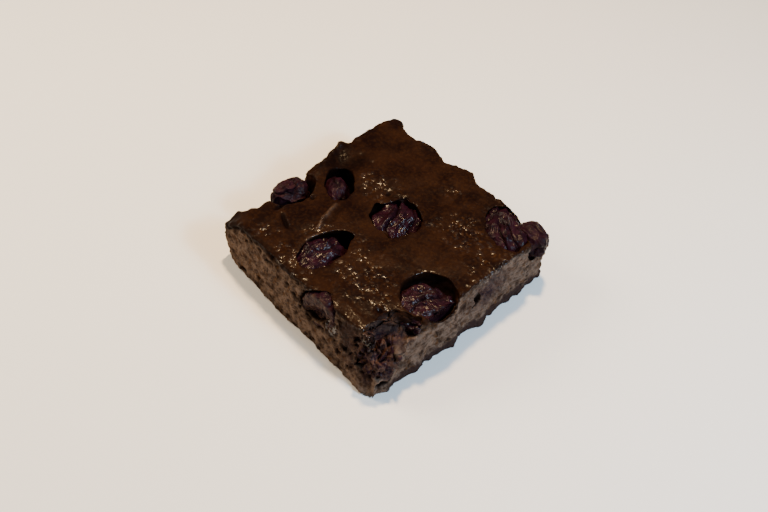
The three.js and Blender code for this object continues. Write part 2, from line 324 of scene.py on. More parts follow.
cherryFinish = {
    "flesh": (0.0160, 0.0036, 0.0076, 1),
    "skinDark": (0.0054, 0.0015, 0.0030, 1),
    "skinWarm": (0.0320, 0.0090, 0.0155, 1),
    "crumbs": (0.0560, 0.0280, 0.0200, 1),  # that stick to a torn one
    "roughness": (0.13, 0.30),
    "dryRoughness": 0.50,
    "shine": 0.04,
    "syrup": (0.16, 0.04),  # the weight of the clear film on a wet one and a dry one
    "syrupRoughness": 0.19,
    "reliefDepth": 0.26,
}
cherryTextures = {  # size in millimetres, detail, roughness, seed
    "shade": (3.4, 4, 0.6), "fine": (0.8, 4, 0.65, 4.4), "crumbs": (1.3, 5, 0.68, 6.2),
    "film": (1.6, 3, 0.6, 7.7), "wrinkle": (1.2, 3, 0.55, 1.2),
}


def makeCherryMaterial():
    # dark skin with redder patches, painted shade in its creases, darker overall where set, and crumb stuck
    # to it by a noise's share
    cherry = Finish("bakedCherry")
    look = cherryFinish
    noise = {name: cherry.noise(*texture) for name, texture in cherryTextures.items()}
    fold, dry, crumbs = (cherry.field(name) for name in ("fold", "dry", "crumbs"))
    skin = cherry.mix(cherry.ramp(noise["shade"], 0.36, 0.66), look["skinDark"], look["flesh"])
    skin = cherry.mix(cherry.ramp(noise["fine"], 0.48, 0.74, 0, 0.8), skin, look["skinWarm"])
    # Painted shade: the fold share, high in the deep creases, takes the dark skin colour.
    skin = cherry.mix(fold, skin, look["skinDark"])
    stuck = cherry.times(crumbs, cherry.ramp(noise["crumbs"], 0.44, 0.56))
    cherry.give("Base Color", cherry.mix(stuck, skin, look["crumbs"]))
    film = cherry.ramp(noise["film"], 0.3, 0.7, *look["roughness"])
    cherry.give("Roughness", cherry.mixValue(dry, film, look["dryRoughness"]))
    cherry.give("Specular IOR Level", look["shine"])
    cherry.give("Coat Weight", cherry.ramp(dry, 0, 1, *look["syrup"]))
    cherry.give("Coat Roughness", look["syrupRoughness"])
    cherry.bump(cherry.sum(noise["wrinkle"], cherry.times(noise["fine"], 0.25)), look["reliefDepth"])
    return cherry.material


cakeMaterial = makeCakeMaterial()
cherryMaterial = makeCherryMaterial()

print("stage: cake")

cake = {
    "halfLength": 34.5,
    "halfWidth": 35.5,
    "height": 20.6,
    "topCells": 186,  # along each side
    "wallRows": 50,
    "cornerRound": 0.4,
    "cornerReach": 1.6,
    "footTurn": 0.9,  # how far the underside's edge is drawn in
    "wallBow": 0.275,  # how far the sides swell half way down
    "crustSwell": 0.24,
    "brinkReach": 0.12,  # how far round a hollow its wet rim goes, as a share of the hollow
    "raggedSize": 4.2,  # of the lumps in a hollow's wall
    "rimReach": 1.8,
    "skinDepth": 0.9,  # how far the crust goes down the sides
    "frontFace": (-33.0, -34.6),  # the y from where to where the front side's share rises
    "rightFace": (32.6, 34.2),  # the same in x for the right side
}

# Each cut side as [place along it, distance out from the straight side], at rim and foot.
cakeSides = {
    "front": {
        "rim": [[-35, 0.5], [-31, 0.1], [-18, 0.2], [0, 0.4], [10, 0], [20, -0.8], [27, -1.9], [35, -1.6]],
        "foot": [[-35, -0.6], [-29, 0.8], [-17, 1.3], [-2, 2.1], [8, 1.7], [20, 2.1], [30, 2.5], [35, 1.6]],
    },
    "right": {
        "rim": [[-36, 0], [-20, 0.3], [-5, 0.6], [6, 0.2], [14, 0], [26, -0.2], [36, -1]],
        "foot": [
            [-36, 0.9], [-30, 1], [-24.6, 1.2], [-21, 2.2], [-17.5, 1.1], [-11, 1.6], [-6.5, 2.2],
            [-3, 0.6], [-0.5, 0.7], [6, 1.6], [9, 0.7], [13, 0.8], [20, 0.3], [24, 0.8], [30, 0.2], [36, 0]],
    },
    "back": {
        "rim": [
            [-35, -1.7], [-32, -0.5], [-24.5, -3.4], [-14, -1.5], [-8, -3.3], [-4, -1.6], [1, -0.8],
            [6.5, -3.2], [12, -2.7], [19, -2.9], [24.5, -5], [28.5, -1.6], [35, -0.6]],
        "foot": [[-35, -0.3], [-20, 0.5], [-6, -0.4], [8, 0.4], [22, -0.4], [35, 0]],
    },
    "left": {
        "rim": [
            [-36, 0.6], [-31, -1.4], [-18, -2.4], [-8, -2.2], [1, -1.2], [7, 0.2],
            [11, 1.1], [13.5, -0.3], [20, 0.6], [28, 0.9], [36, -0.3]],
        "foot": [[-36, 0.3], [-22, 0.4], [-8, -0.3], [6, 0.5], [20, -0.2], [36, 0.2]],
    },
}

# Places where the crust stands higher or lower: [x, y, reach, rise].
crustSpots = [
    [-36, -38, 7.5, -8], [36, 38, 10, -3.6], [-36, -12, 10, -2.2], [33, 3, 12, 0.9], [8, -24, 14, 0.4],
    [-27.6, 6.0, 4.2, -1.7], [-34.8, 10.2, 2.0, 0.9], [-12, -17, 6, 0.5],
]

# Hollows: at, radii, turn about Z and lean about Y in degrees, the way the hollow opens, egg, which
# narrows the far end, and ragged, how far its wall strays in millimetres.
hollows = {
    "frontLeft": dict(at=[-2.8, -22.3, 15.5], radii=[7, 12.2, 8], egg=0.24, opens=[0, 0, 1], ragged=0.7),
    "centre": dict(at=[0.9, 2.4, 18.2], radii=[8.7, 9.0, 5], opens=[0, 0, 1], ragged=1.7),
    "frontRight": dict(
        at=[28.9, -11.6, 20.6], radii=[8.3, 8.3, 6.8], turn=44, opens=[0.35, 0, 1], ragged=0.5),
    "leftEdge": dict(at=[-29.6, -14.4, 18.8], radii=[7.0, 9.0, 6.4], opens=[-0.5, 0, 0.9], ragged=1.1),
    "leftNotch": dict(at=[-35.5, -24, 18], radii=[7.7, 7, 8.5], opens=[-0.8, 0, 0.7], ragged=1.3),
    "sunken": dict(at=[-21.6, -0.9, 17], radii=[8.7, 5.2, 7.2], turn=-41, opens=[0, 0, 1], ragged=0.8),
    "rightEdge": dict(at=[24.8, 24.8, 19.5], radii=[10, 6.2, 4.5], turn=-30, opens=[0, 0, 1], ragged=1.0),
    "rightCorner": dict(at=[29.6, 31, 19.6], radii=[5.4, 5, 4.6], opens=[0.1, 0.5, 1], ragged=1.0),
    "rightCornerSide": dict(at=[33.8, 28.4, 16.4], radii=[3.4, 2.8, 4.4], opens=[0.8, 0, 0.6], ragged=0.8),
    "frontSide": dict(
        at=[9.6, -37.4, 16.0], radii=[8.1, 7.6, 5.2], lean=36, opens=[0, -0.8, 0.7], ragged=0.8),
    "brokenCorner": dict(
        at=[35.2, -28.8, 20.2], radii=[8.4, 10.4, 6.4], opens=[0.6, -0.35, 0.75], ragged=1.9),
    "brokenFoot": dict(at=[35.8, -34.8, 13.4], radii=[6.6, 5.8, 5.8], opens=[0.6, -0.6, 0.5], ragged=1.4),
    "rightSideTear": dict(at=[36, 2.8, 13.4], radii=[2.2, 1.5, 3.6], opens=[1, 0, 0.1], ragged=1.3),
    "cornerSlot": dict(at=[36.4, -33, 4.6], radii=[3, 3, 1.2], opens=[1, -0.2, 0], ragged=0.6),
    "cornerLedge": dict(at=[35, 37.6, 7.2], radii=[6, 4.2, 1.5], opens=[0.3, 1, 0], ragged=0.7),
    "frontSideHole": dict(at=[22, -37.5, 8.8], radii=[2, 2.6, 1.5], opens=[0, -1, 0], ragged=0.8),
    "frontSideCrack": dict(at=[29, -37.2, 9.6], radii=[2.2, 2.6, 1.4], opens=[0, -1, 0], ragged=0.8),
}

# Bubbly places in the crust: [x, y, reach along x, reach along y, strength].
bubblyPlaces = [
    [13, -22.5, 8, 6.5, 1.1], [-6, -33, 8, 3.2, 1.1], [20.5, 13.5, 8, 6, 1.5], [-11, 6.5, 5, 6, 1.0],
    [-9, -20, 3, 6, 0.8], [15, 15.5, 3, 3, 0.6], [31, 8, 2.5, 9, 0.8], [-20, -31, 7, 3.5, 0.8],
    [2, -14, 12, 5, 0.4], [5, 25, 14, 7, 0.25], [10, 9, 3, 3, 0.5], [-18, 8, 4, 4, 0.6],
    [24, -22, 4, 5, 0.7], [3, 23, 2.2, 2.2, 0.8],
]

# Wet rims and ridges, and places with painted shade: [x, y, reach along x, reach along y, strength].
wetPlaces = [
    [-7, -23, 3, 6, 0.9], [-3, -13, 5, 2.5, 0.5], [0, 8.5, 5, 3, 0.9], [-6, 6, 3, 4, 0.6],
    [22, -9, 3, 5, 0.8], [15.5, 26.5, 4, 3, 1.0], [20, -32, 6, 2.5, 0.5], [27.5, -33.5, 3, 2.5, 0.9],
    [35, -27.5, 2, 2, 0.8], [34.5, 10, 1.6, 9, 0.9], [-31.5, 4, 2.5, 7, 0.25], [6, -35, 3, 2, 0.8],
    [15, -30.5, 4, 2, 0.5], [-11, -15, 3, 6, 0.8],
]
paintedShadePlaces = [
    [-26.5, 6.5, 4.5, 4.5, 0.85], [-25.8, 11.8, 3, 3.4, 0.75], [-31.5, 1.5, 2.6, 8, 0.85],
    [-33.5, 9.5, 2.5, 3.5, 0.6], [-10, 9, 2, 2, 0.6], [16, 27, 3, 2, 0.4], [-24, -10.5, 2.5, 1.5, 0.6],
    [-32, -35, 5, 3, 0.25], [29.2, -28, 2.6, 4.5, 0.6], [18.6, -35.6, 3.4, 2, 0.6],
]


def sideOut(side, level, place, halfSpan):
    # the side's own curve, drawn in by a Gaussian where it meets the next side
    fromCorner = (halfSpan - np.abs(place)) / cake["cornerReach"]
    return throughKnots(cakeSides[side][level], place) - cake["cornerRound"] * np.exp(-fromCorner ** 2)


def cakeOutline(level):
    # the four sides as curves of a share from 0 to 1, each bent out from its straight line
    halfX, halfY = cake["halfLength"], cake["halfWidth"]
    bend = {
        "front": lambda x: -halfY - sideOut("front", level, x, halfX),
        "back": lambda x: halfY + sideOut("back", level, x, halfX),
        "left": lambda y: -halfX - sideOut("left", level, y, halfY),
        "right": lambda y: halfX + sideOut("right", level, y, halfY),
    }

    def meeting(side, end, signX, signY):  # the corner where two bent sides meet
        return np.array([bend[side](np.array(signY * halfY)), bend[end](np.array(signX * halfX))])

    corner = {
        (side, end): meeting(side, end, signX, signY)
        for side, signX in (("left", -1), ("right", 1)) for end, signY in (("front", -1), ("back", 1))}

    def run(side, start, end, across, share):  # the straight line between two corners, bent
        place = start[across] + (end[across] - start[across]) * share
        half = halfY if across else halfX
        bent = bend[side](np.clip(place, -half, half))
        return np.stack([bent, place] if across else [place, bent], axis=-1)

    return {
        "front": lambda t: run("front", corner["left", "front"], corner["right", "front"], 0, t),
        "back": lambda t: run("back", corner["left", "back"], corner["right", "back"], 0, t),
        "left": lambda t: run("left", corner["left", "front"], corner["left", "back"], 1, t),
        "right": lambda t: run("right", corner["right", "front"], corner["right", "back"], 1, t),
    }


def insideOutline(edge, u, v):
    # Coons patch: the two ruled surfaces between facing sides, less the flat one of the corners
    front, back, left, right = edge["front"](u), edge["back"](u), edge["left"](v), edge["right"](v)
    zero, one = np.zeros_like(u), np.ones_like(u)
    corners = [edge["front"](zero), edge["front"](one), edge["back"](zero), edge["back"](one)]
    u, v = u[..., None], v[..., None]
    flat = (corners[0] * (1 - u) + corners[1] * u) * (1 - v) + (corners[2] * (1 - u) + corners[3] * u) * v
    return front * (1 - v) + back * v + left * (1 - u) + right * u - flat


def crustHeight(plan):
    # the slab's height plus a Gaussian for each spot and a slow swell
    z = np.full(len(plan), cake["height"])
    for x, y, reach, rise in crustSpots:
        z += rise * np.exp(-np.sum((plan - [x, y]) ** 2, axis=1) / reach ** 2)
    x, y = plan.T
    swell = np.sin(x / 3.4 + 0.8) * np.sin(y / 4.1) + 0.6 * np.sin(x / 7.3 - y / 5.2)
    return z + cake["crustSwell"] * swell


def cakeBlank():
    # a grid for the crust, rings from its rim down the sides, and rings in to the underside's
    # middle; returns points, quads, and each point's depth below the rim and distance in from it
    n = cake["topCells"]
    share = np.linspace(0, 1, n + 1)
    u, v = (grid.ravel() for grid in np.meshgrid(share, share, indexing="ij"))
    rim, foot = cakeOutline("rim"), cakeOutline("foot")
    plan = insideOutline(rim, u, v)
    points = [np.column_stack([plan, crustHeight(plan)])]
    i, j = (grid.ravel() for grid in np.meshgrid(np.arange(n), np.arange(n), indexing="ij"))
    first = i * (n + 1) + j
    quads = [np.stack([first, first + n + 1, first + n + 2, first + 1], axis=1)]

    up, down, still = np.arange(n), np.arange(n, 0, -1), np.zeros(n, int)
    roundI = np.concatenate([up, still + n, down, still])
    roundJ = np.concatenate([still, up, still + n, down])
    ring = roundI * (n + 1) + roundJ
    count = len(ring)
    rimPlan, footPlan = plan[ring], insideOutline(foot, roundI / n, roundJ / n)
    rimZ = points[0][ring, 2]
    t = np.linspace(0, 1, cake["wallRows"] + 1)[1:, None]
    z = rimZ * (1 - t) + cake["footTurn"] * 0.8 * t
    bow = cake["wallBow"] * np.sin(np.pi * np.clip(t * 1.05, 0, 1))
    planRows = rimPlan[None] * (1 - t[..., None] ** 2) + footPlan[None] * t[..., None] ** 2
    planRows = planRows * (1 + bow[..., None] / cake["halfLength"])
    points.append(np.concatenate([planRows, z[..., None]], axis=2).reshape(-1, 3))
    # The underside's rings as shares of the foot's outline, and their heights.
    turnIn = cake["footTurn"] / 35
    shrink = np.array([1 - 0.45 * turnIn, 1 - turnIn, 0.93, 0.8, 0.6, 0.4, 0.2])[:, None, None]
    low = np.array([0.22, 0, 0, 0, 0, 0, 0])[:, None, None]
    under = np.concatenate([footPlan[None] * shrink, np.broadcast_to(low, (len(low), count, 1))], axis=2)
    points.append(under.reshape(-1, 3))
    points.append(np.zeros((1, 3)))

    below = np.arange((len(t) + len(low)) * count).reshape(-1, count)
    rings = np.concatenate([ring[None], len(plan) + below])
    after = np.roll(rings, -1, axis=1)
    quads.append(np.stack([rings[:-1], rings[1:], after[1:], after[:-1]], axis=-1).reshape(-1, 4))
    middle = np.full(count, sum(map(len, points)) - 1)
    quads.append(np.stack([rings[-1], middle, after[-1], after[-1]], axis=1))
    points = np.concatenate(points)
    depth = np.zeros(len(points))
    depth[len(plan):len(plan) + z.size] = (rimZ[None] - z).ravel()
    depth[len(plan) + z.size:] = cake["height"]
    inward = np.zeros(len(points))
    inward[:len(plan)] = np.minimum(np.minimum(u, 1 - u), np.minimum(v, 1 - v)) * 2 * cake["halfLength"]
    return points, np.concatenate(quads), depth, inward


def wander(points, cell, seed):  # three independent noises as one vector for each point
    return np.stack([layeredNoise(points, cell, 2, seed + 100 * i) for i in (1, 2, 3)], axis=1)


def axesOf(turn, lean=0):  # the X, Y and Z axes of a shape leant about Y and then turned about Z
    turn, lean = np.radians(turn), np.radians(lean)
    turned = np.array([[np.cos(turn), -np.sin(turn), 0], [np.sin(turn), np.cos(turn), 0], [0, 0, 1]])
    leant = np.array([[np.cos(lean), 0, -np.sin(lean)], [0, 1, 0], [np.sin(lean), 0, np.cos(lean)]])
    return turned @ leant


def pressHollow(points, at, radii, opens, turn=0, lean=0, egg=0, ragged=0.5, seed=0):
    # In a space bent by noise, every point inside the ellipsoid goes to its far wall: with k
    # the share of the way from the nearest point to the ellipsoid, its angle a from the
    # opening becomes pi + (a - pi) * k^0.75, so the rim stays and the middle goes deepest.
    turned = axesOf(turn, lean)
    bent = points + ragged * wander(points, cake["raggedSize"], seed)
    local = (bent - at) @ turned / radii
    local[:, 0] /= 1 - egg * np.clip(local[:, 1], -1, 1)
    opening = (np.array(opens, float) @ turned) * radii
    opening /= np.linalg.norm(opening)
    share = np.maximum(np.linalg.norm(local, axis=1), 1e-9)
    direction = local / share[:, None]
    inside = share < 1
    nearest = share[inside].min()
    k = np.clip((share - nearest) / (1 - nearest), 0, 1)
    upright = np.clip(direction @ opening, -1, 1)
    side = direction - upright[:, None] * opening
    side /= np.maximum(np.linalg.norm(side, axis=1, keepdims=True), 1e-9)
    polar = np.pi + (np.arccos(upright) - np.pi) * k ** 0.75
    carried = np.sin(polar)[:, None] * side + np.cos(polar)[:, None] * opening
    carried[:, 0] *= 1 - egg * np.clip(carried[:, 1], -1, 1)
    moved = (carried * radii) @ turned.T + at
    moved = moved - ragged * wander(moved, cake["raggedSize"], seed)
    return np.where(inside[:, None], moved, points), np.where(inside, 1 - k, 0), share


def alongLine(points, start, end, width):
    # in plan: a Gaussian of the distance to the segment, tapering as sin(pi t) to its ends
    start, along = np.array(start, float), np.array(end, float) - start
    t = np.clip((points[:, :2] - start) @ along / (along @ along), 0, 1)
    away = np.linalg.norm(points[:, :2] - start - t[:, None] * along, axis=1)
    return np.exp(-(away / width) ** 2) * np.sin(np.pi * (0.12 + 0.76 * t)) ** 0.7


# Folds and slits of the crust: [x, y] to [x, y], width, and height (below 0 for a slit).
crustFolds = [
    [[-14.6, -8.5], [-10.1, -19.4], 0.6, 1.1], [[-12.6, -7.4], [-9.6, -15.0], 0.45, -0.4],
    [[-35.4, 10.5], [-31, 0.5], 1.2, 0.9], [[-31, 1], [-29, -7], 0.9, 0.7],
    [[-21.6, -23.2], [-16.3, -25.8], 0.6, -1.4], [[-24, -11], [-23.5, -16], 0.7, 0.5],
    [[-26, -16], [-24.5, -23.5], 0.7, -1.3], [[-30.5, -25.5], [-24.3, -12.5], 0.9, -0.9],
    [[17, -31], [26, -33], 0.8, 0.25], [[-8, 7], [-3, 11], 0.6, -0.5], [[-9, -24], [-5, -15], 0.7, 0.5],
]
# Small lumps and holes: [x, y, z], reach, height along the surface's normal.
cakeSpots = [
    [[24.3, -25.6, 21], 1.0, -1.4], [[-27, 13, 21], 1.0, -0.5], [[-22, 13, 21], 1.0, -0.5],
    [[-8.5, 7.5, 20.8], 1.2, -1.1], [[34.3, -18.4, 18], 1.7, 1.5], [[32.4, -20.4, 16.8], 2.0, -2.0],
    [[31.8, -26.4, 15], 2.4, 1.6], [[32, -29.4, 12.8], 1.8, -2.0], [[27.5, -33.5, 14], 2.4, 1.5],
    [[30.2, -34.6, 9.5], 1.8, -2.0], [[34.6, -31.5, 8.5], 1.8, 1.3],
    [[35, 13.5, 21], 0.8, -1.0], [[-22, -11.5, 20.5], 0.9, -1.3], [[-34.8, 11, 20.8], 1.4, 0.5],
    [[35, 7, 10], 2.0, 0.5], [[35.3, 1.5, 9], 1.2, -0.7], [[33, -38, 12], 1.4, -0.9],
    [[-14, -36.5, 12], 1.0, -0.6], [[-5, -36.8, 10], 1.2, -0.7], [[3, -37, 11], 1.1, -0.8],
    [[-22, -36.3, 15], 1.2, -0.6], [[17, -37.5, 6], 1.2, -0.6], [[20, -36.4, 15], 2.2, 0.6],
    [[15.5, -37, 9.5], 2.0, 0.7], [[-30.9, -8.5, 20.4], 1.0, 0.6],
]

# The torn corner: the middle and radii of the flesh and crumb that show, the depth that it is sunk
# by, and the lower limit of its right side as [y, z].
tornCorner = {
    "at": [34, -31, 13], "radii": [11.5, 10, 11], "sunk": 0.6,
    "foot": [
        [-40, 9.8], [-36.5, 9.8], [-32, 6], [-30.2, 7.5], [-29.6, 11.4], [-26.4, 13.4], [-23.2, 15.2],
        [-20.5, 17], [-16, 18.6], [-13, 21.3]],
}
sideTear = [8, 13.5, 6.5, 4.5]  # flesh in the right side: y, z, reach along y, reach along z
crustRan = [[15.8, 12.8, 3.6, 3.2], [22.5, 15, 4.2, 6.5]]  # down the front side: x, z, and reaches

# The line of pits across the front side, as [x, z].
frontSeam = [[-36, 20], [-28, 19], [-20, 17.6], [-12, 16.4], [-4, 14.6], [2, 12], [8, 9], [18, 8.4], [30, 10]]

# Rough surfaces: height and spacing in millimetres, layers of noise, seed.
roughness = {
    "wall": [0.42, 2.6, 3, 11], "crust": [0.15, 5.5, 3, 31], "rim": [0.45, 2.6, 3, 33],
    "hollow": [0.4, 2.6, 2, 61], "foot": [0.75, 3.4, 3, 71],
}
# Scattered lumps and pits: height or depth and spacing in millimetres, share that is there, seed.
scattered = {
    "lump": [1.9, 3.6, 0.8, 51], "gap": [2.2, 3.2, 0.45, 53], "pit": [0.75, 2.2, 0.30, 23],
    "speck": [0.3, 1.35, 0.4, 29], "blister": [0.14, 1.9, 0.75, 41], "knob": [0.9, 1.5, 0.7, 59],
}
# How deep the seam is, and how high the fine grain stands on each kind of surface, in millimetres.
fineDepth = {"seam": 1.2, "wall": 0.28, "rim": 0.12, "torn": 0.75, "hollow": 0.18}


def rough(points, kind):  # this kind's height times its noise
    height, spacing, layers, seed = roughness[kind]
    return height * layeredNoise(points, spacing, layers, seed)


def scatter(points, kind):  # this kind's pits, from 0 to 1
    _, spacing, share, seed = scattered[kind]
    return scatteredPits(points, spacing, share, seed)


def nearTo(one, other, place):  # a Gaussian of two measures round [at one, at other, reach, reach]
    atOne, atOther, reachOne, reachOther = place
    return np.exp(-((one - atOne) / reachOne) ** 2 - ((other - atOther) / reachOther) ** 2)


def inPlaces(points, places):  # the sum of a Gaussian for each place, in plan
    return sum(place[4] * nearTo(points[:, 0], points[:, 1], place[:4]) for place in places)


def pressHollows(points):
    # each hollow in turn; also returns how deep in one each point lies, and how near its rim
    pocket, brink = np.zeros(len(points)), np.zeros(len(points))
    for seed, hollow in enumerate(hollows.values()):
        points, carried, share = pressHollow(points, seed=seed, **hollow)
        pocket = np.maximum(pocket, carried)
        brink = np.maximum(brink, np.exp(-((share - 1) / cake["brinkReach"]) ** 2))
    return points, pocket, brink


def foldCrust(points, onTop):
    # raises each point by every line's height times its share of the line; also returns how far
    # it lies in a slit, which gets painted shade a little beyond its width, and how far on a ridge
    bent = points + 0.7 * wander(points, 5.0, 5)
    slit, ridge = np.zeros(len(points)), np.zeros(len(points))
    for start, end, width, height in crustFolds:
        line = onTop * alongLine(bent, start, end, width)
        points[:, 2] += height * line
        if height < 0:
            sides = smoothStep(0.1, 0.5, alongLine(bent, start, end, 1.3 * width))
            slit = np.maximum(slit, sides * onTop * min(1, -height))
        ridge = np.maximum(ridge, height * line)
    return points, slit, ridge


def tornShare(points, on):
    # the ellipsoid's Gaussian, sharpened by a cube, and a thinner cover on the front side; then
    # less what lies under the right side's limit, and with the tear in that side
    x, y, z = points.T
    away = np.sum(((points - tornCorner["at"]) / tornCorner["radii"]) ** 2, axis=1)
    torn = np.exp(-away ** 3)
    torn = np.maximum(torn, 0.45 * on.frontWall * smoothStep(17, 26, x) * smoothStep(2.5, 6.5, z))
    torn *= 1 - smoothStep(32.5, 34, x) * smoothStep(0.9, -0.9, z - throughKnots(tornCorner["foot"], y))
    return np.maximum(torn, 0.9 * on.rightWall * nearTo(y, z, sideTear)) * np.maximum(on.hollow, on.wall)


def cakeRegions(points, depth, inward, pocket, onTop):
    # where on the cake each point lies, as shares from 0 to 1, mostly smooth steps of its place
    x, y, z = points.T
    on = SimpleNamespace(x=x, y=y, z=z, top=onTop)
    on.wall = smoothStep(0.3, 1.4, depth) * (pocket < 0.05) * (z > 0.01)
    on.frontWall = on.wall * smoothStep(*cake["frontFace"], y)
    on.rightWall = on.wall * smoothStep(*cake["rightFace"], x)
    # The right side cuts two hollows open, and what shows of them there gets little painted shade.
    nearCherry = np.exp(-((y + 12) / 7) ** 2)
    nearCorner = np.exp(-((y + 29) / 8) ** 2) * smoothStep(7, 9, z)
    cutThrough = smoothStep(32.0, 33.6, x) * np.maximum(nearCherry, nearCorner)
    on.hollow = smoothStep(0.0, 0.25, pocket)
    # Painted shade: the deeper a point lies below the crust inside a hollow, the darker it is painted.
    on.sunk = smoothStep(0.3, 2.4, crustHeight(points[:, :2]) - z) * on.hollow * (1 - 0.8 * cutThrough)
    on.hollow = on.hollow * (1 - 0.8 * cutThrough)
    on.rim = np.exp(-((inward + depth) / cake["rimReach"]) ** 2) * (z > 5) * (1 + smoothStep(31, 34, x))
    on.torn = tornShare(points, on)
    on.wet, on.dark = inPlaces(points, wetPlaces), inPlaces(points, paintedShadePlaces)
    patchy = smoothStep(-0.25, 0.55, layeredNoise(points, 2.6, 3, 37))
    on.bubbles = np.clip(1.25 * inPlaces(points, bubblyPlaces) * (0.15 + 0.85 * patchy), 0, 1) * on.top
    return on


def broadRelief(points, on):
    # the sum of each region's share times its roughness, of the torn corner's lumps less its gaps,
    # and of a Gaussian for each small spot; also returns the gaps and the deeper of the spots
    bent = points + 0.8 * wander(points, 2.4, 9)
    gaps = scatter(bent, "gap")
    torn = scattered["lump"][0] * scatter(bent, "lump") - scattered["gap"][0] * gaps - tornCorner["sunk"]
    relief = on.wall * rough(points, "wall") + on.top * rough(points, "crust")
    relief += on.rim * rough(points, "rim") + on.torn * torn + on.hollow * rough(points, "hollow")
    relief += on.rightWall * smoothStep(4.5, 0.5, on.z) * rough(points * [1, 1, 0.4], "foot")
    nicks = np.zeros(len(points))
    for at, reach, height in cakeSpots:
        spot = np.exp(-np.sum((points - at) ** 2, axis=1) / reach ** 2)
        relief += height * spot
        # the deeper holes get painted shade, as the slits do
        if height < -0.9:
            nicks = np.maximum(nicks, smoothStep(0.25, 0.75, spot))
    return relief, gaps, nicks


def fineRelief(points, on):
    # grain less pits, specks and the seam on the cut sides, blisters on the crust, and knobs on torn
    # flesh; also returns the grain, and how far each point lies in a hole of the crumb, which gets painted
    # shade
    bent = points + 0.5 * wander(points, 1.6, 19)
    pits = smoothStep(0.05, 0.8, scatter(bent * [0.7, 0.7, 1.4], "pit")) * (1 - 0.6 * on.rightWall)
    specks = scatter(bent, "speck")
    grain = layeredNoise(bent, 1.3, 3, 57)
    seamTop = throughKnots(frontSeam, on.x) + 1.6 * layeredNoise(points, 3.5, 2, 43)
    seam = np.exp(-((on.z - seamTop) / 0.85) ** 2)
    seam *= on.frontWall * smoothStep(-0.15, 0.3, layeredNoise(points, 2.8, 2, 47))
    lost = scattered["pit"][0] * pits + scattered["speck"][0] * specks
    relief = on.wall * (fineDepth["wall"] * grain - lost)
    relief += scattered["blister"][0] * on.bubbles * (scatter(bent, "blister") - 0.35)
    relief += on.torn * (fineDepth["torn"] * grain + scattered["knob"][0] * scatter(bent, "knob"))
    relief += (fineDepth["rim"] * on.rim + fineDepth["hollow"] * on.hollow) * grain - fineDepth["seam"] * seam
    return relief, grain, np.clip(1.3 * pits + 0.5 * specks + seam, 0, 1) * on.wall


def cakeFields(points, depth, inward, on):
    # what the material needs to know at each point, as shares from 0 to 1
    x, y, z = on.x, on.y, on.z
    skin = cake["skinDepth"] + on.frontWall * smoothStep(8, -6, x)
    skin += (0.6 + 1.2 * on.rightWall) * softNoise(points, 2.5, 81)
    lip, sheet = (nearTo(x, z, place) for place in crustRan)
    ran = smoothStep(0.35, 0.6, np.maximum(lip, sheet) + 0.25 * softNoise(points, 2.0, 85)) * on.frontWall
    crust = np.maximum(smoothStep(skin + 0.4, skin - 0.3, depth), ran)
    bubbles = np.maximum(on.bubbles, ran * lip)
    # Painted shade on the listed dark places, and a darker band along the front-left rim, both mixed with the
    # grain.
    band = smoothStep(2.2, 0.9, inward + depth) * smoothStep(-31.5, -33.5, y) * smoothStep(12, 0, x)
    dark = np.clip(np.maximum(on.dark * (depth < 3), 0.6 * band), 0, 1) * (0.75 + 0.5 * on.grain)
    # Painted shade in the gaps between the torn corner's lumps.
    inGaps = smoothStep(0.4, 0.8, on.torn) * smoothStep(0.15, 0.7, on.gaps)
    onBrink = np.clip(on.brink + on.rim + on.ridge + 0.5 * on.torn, 0, 1) * (depth < 6)
    wet = np.maximum(np.clip(1.2 * on.wet, 0, 1) * onBrink, smoothStep(0.1, 0.55, bubbles))
    # Painted highlight: on the fold ridge left of x = -8 some crust colour gives way to the paler crumb.
    ridgePaintedHighlight = 0.45 * on.ridge * smoothStep(-20, -14, x) * (x < -8)
    # Painted shade and dark crumb along the foot, up to a wavering line that is lower at the front.
    footTop = 4.2 * smoothStep(-37, -24, y) + 2.2 * layeredNoise(points, 4.0, 2, 91)
    onFoot = smoothStep(footTop + 0.5, footTop - 0.5, points[:, 2])
    return {
        "crust": np.maximum(crust, on.hollow) * (1 - on.torn) * (1 - ridgePaintedHighlight),
        # painted shade: deep in hollows, in slits, small holes, gaps and dark places
        "pocket": np.maximum.reduce([on.sunk * (1 - 0.9 * on.torn), on.slit, dark, inGaps]),
        "wet": np.maximum(wet, 0.06 * crust) * (1 - on.slit),
        # the fold ridge also gets the blisters' speckle, a painted highlight there
        "bubbles": np.maximum(bubbles, on.ridge * smoothStep(-25, -12, x)),
        # painted shade and dark crumb along the foot
        "foot": onFoot * np.maximum(on.rightWall, 0.3 * on.wall),
        "fruit": on.torn,
        # painted shade in the crumb's pits, specks and seam
        "hollow": on.holes,
    }


def makeCake():
    # hollows and folds first, then broad relief and fine relief, each along the new normals
    points, quads, depth, inward = cakeBlank()
    points, pocket, brink = pressHollows(points)
    onTop = smoothStep(1.2, 0.2, depth) * (pocket == 0)
    points, slit, ridge = foldCrust(points, onTop)
    points = eased(points, quads, 0.5 * (points[:, 2] > 0.05), 2)
    on = cakeRegions(points, depth, inward, pocket, onTop)
    above = smoothStep(0.0, 0.6, on.z)
    relief, on.gaps, nicks = broadRelief(points, on)
    points = points + pointNormals(points, quads) * (relief * above)[:, None]
    relief, on.grain, on.holes = fineRelief(points, on)
    points = points + pointNormals(points, quads) * (relief * above)[:, None]
    points[:, 2] = np.maximum(points[:, 2], 0)
    on.brink, on.ridge, on.slit = brink, ridge, np.maximum(slit, nicks)
    fields = cakeFields(points, depth, inward, on)
    makePiece("brownie_cake", points, quads, fields, cakeMaterial, "brownie_slab")


makeCake()

print("stage: cherries")

